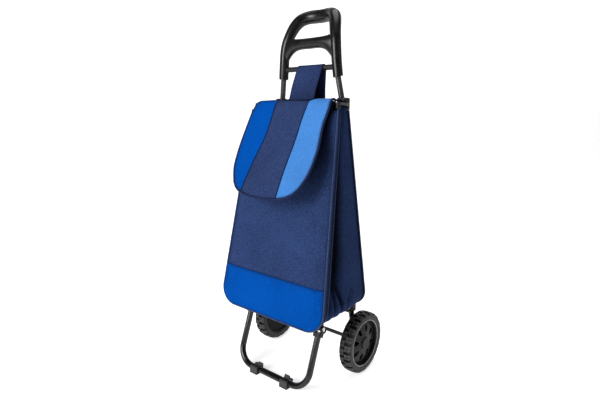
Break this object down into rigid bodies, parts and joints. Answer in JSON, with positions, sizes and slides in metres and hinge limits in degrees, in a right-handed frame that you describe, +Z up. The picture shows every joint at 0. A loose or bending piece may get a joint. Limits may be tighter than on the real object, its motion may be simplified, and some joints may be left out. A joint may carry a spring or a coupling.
{
  "type": "shopping trolley",
  "caption": "folding shopping trolley with a striped fabric bag on a bent black tube frame, a moulded handle, a front stand and treaded wheels",
  "frame": {"origin": "centre of the bounding box's footprint on the floor", "axes": "+Z up along the bag's height, -Y is the front that the foot and flap face, +X is the right side seen from behind the front looking along +Y"},
  "size_m": [0.336, 0.3102, 0.9254],
  "materials": {
    "black_tube": "gloss",
    "zinc_steel": "brushed",
    "handle_plastic": "gloss",
    "black_plastic": "matte",
    "pad_rubber": "matte",
    "tread_rubber": "matte",
    "wheel_plastic": "satin",
    "navy_cloth": "matte",
    "royal_cloth": "matte",
    "sky_cloth": "matte",
    "piping_cloth": "matte",
    "black_webbing": "matte"
  },
  "bodies": {
    "frame": {"upright_left": "black_tube", "upright_right": "black_tube", "joint_block_left": "black_plastic", "joint_block_right": "black_plastic", "handle_tube_left": "black_tube", "handle_tube_right": "black_tube", "handle": "handle_plastic", "strap_rod": "black_tube", "axle": "black_tube", "axle_washer_left": "black_plastic", "axle_washer_right": "black_plastic", "axle_clip_left": "zinc_steel", "axle_clip_right": "zinc_steel", "base_bracket_left": "black_plastic", "base_bracket_right": "black_plastic", "base_pin_left": "zinc_steel", "base_pin_right": "zinc_steel", "back_panel": "navy_cloth", "back_piping": "piping_cloth", "gusset_left": "navy_cloth", "gusset_right": "navy_cloth", "bag_floor": "navy_cloth", "front_panel": "navy_cloth", "bottom_band": "royal_cloth", "front_piping": "piping_cloth", "frame_loop_left": "black_webbing", "frame_loop_right": "black_webbing", "hanging_strap": "navy_cloth", "base_tube": "black_tube", "foot_hanger_left": "black_plastic", "foot_hanger_right": "black_plastic", "foot_pin_left": "zinc_steel", "foot_pin_right": "zinc_steel", "mouth_hoop": "black_tube", "hoop_corner_left": "black_plastic", "hoop_corner_right": "black_plastic"},
    "wheel_left": {"tyre_left": "tread_rubber", "wheel_disc_left": "wheel_plastic", "hub_cap_left": "wheel_plastic"},
    "wheel_right": {"tyre_right": "tread_rubber", "wheel_disc_right": "wheel_plastic", "hub_cap_right": "wheel_plastic"},
    "foot": {"foot_tube": "black_tube", "foot_fork_left": "black_plastic", "foot_fork_right": "black_plastic", "foot_pad_left": "pad_rubber", "foot_pad_right": "pad_rubber"},
    "flap": {"flap_middle": "navy_cloth", "flap_strip_left": "royal_cloth", "flap_strip_right": "sky_cloth", "flap_binding": "piping_cloth"}
  },
  "joints": [
    {"name": "wheel_left_spin", "type": "hinge", "parent": "frame", "child": "wheel_left", "pos_m": [-0.148, 0.0725, 0.08], "axis": [1, 0, 0], "continuous": true},
    {"name": "wheel_right_spin", "type": "hinge", "parent": "frame", "child": "wheel_right", "pos_m": [0.148, 0.0725, 0.08], "axis": [1, 0, 0], "continuous": true},
    {"name": "foot_fold", "type": "hinge", "parent": "frame", "child": "foot", "pos_m": [0, -0.0645, 0.157], "axis": [1, 0, 0], "range_deg": [0, 70]},
    {"name": "flap_open", "type": "hinge", "parent": "frame", "child": "flap", "pos_m": [0, 0.021, 0.699], "axis": [-1, 0, 0], "range_deg": [0, 75], "deforming": ["hanging_strap"]}
  ]
}
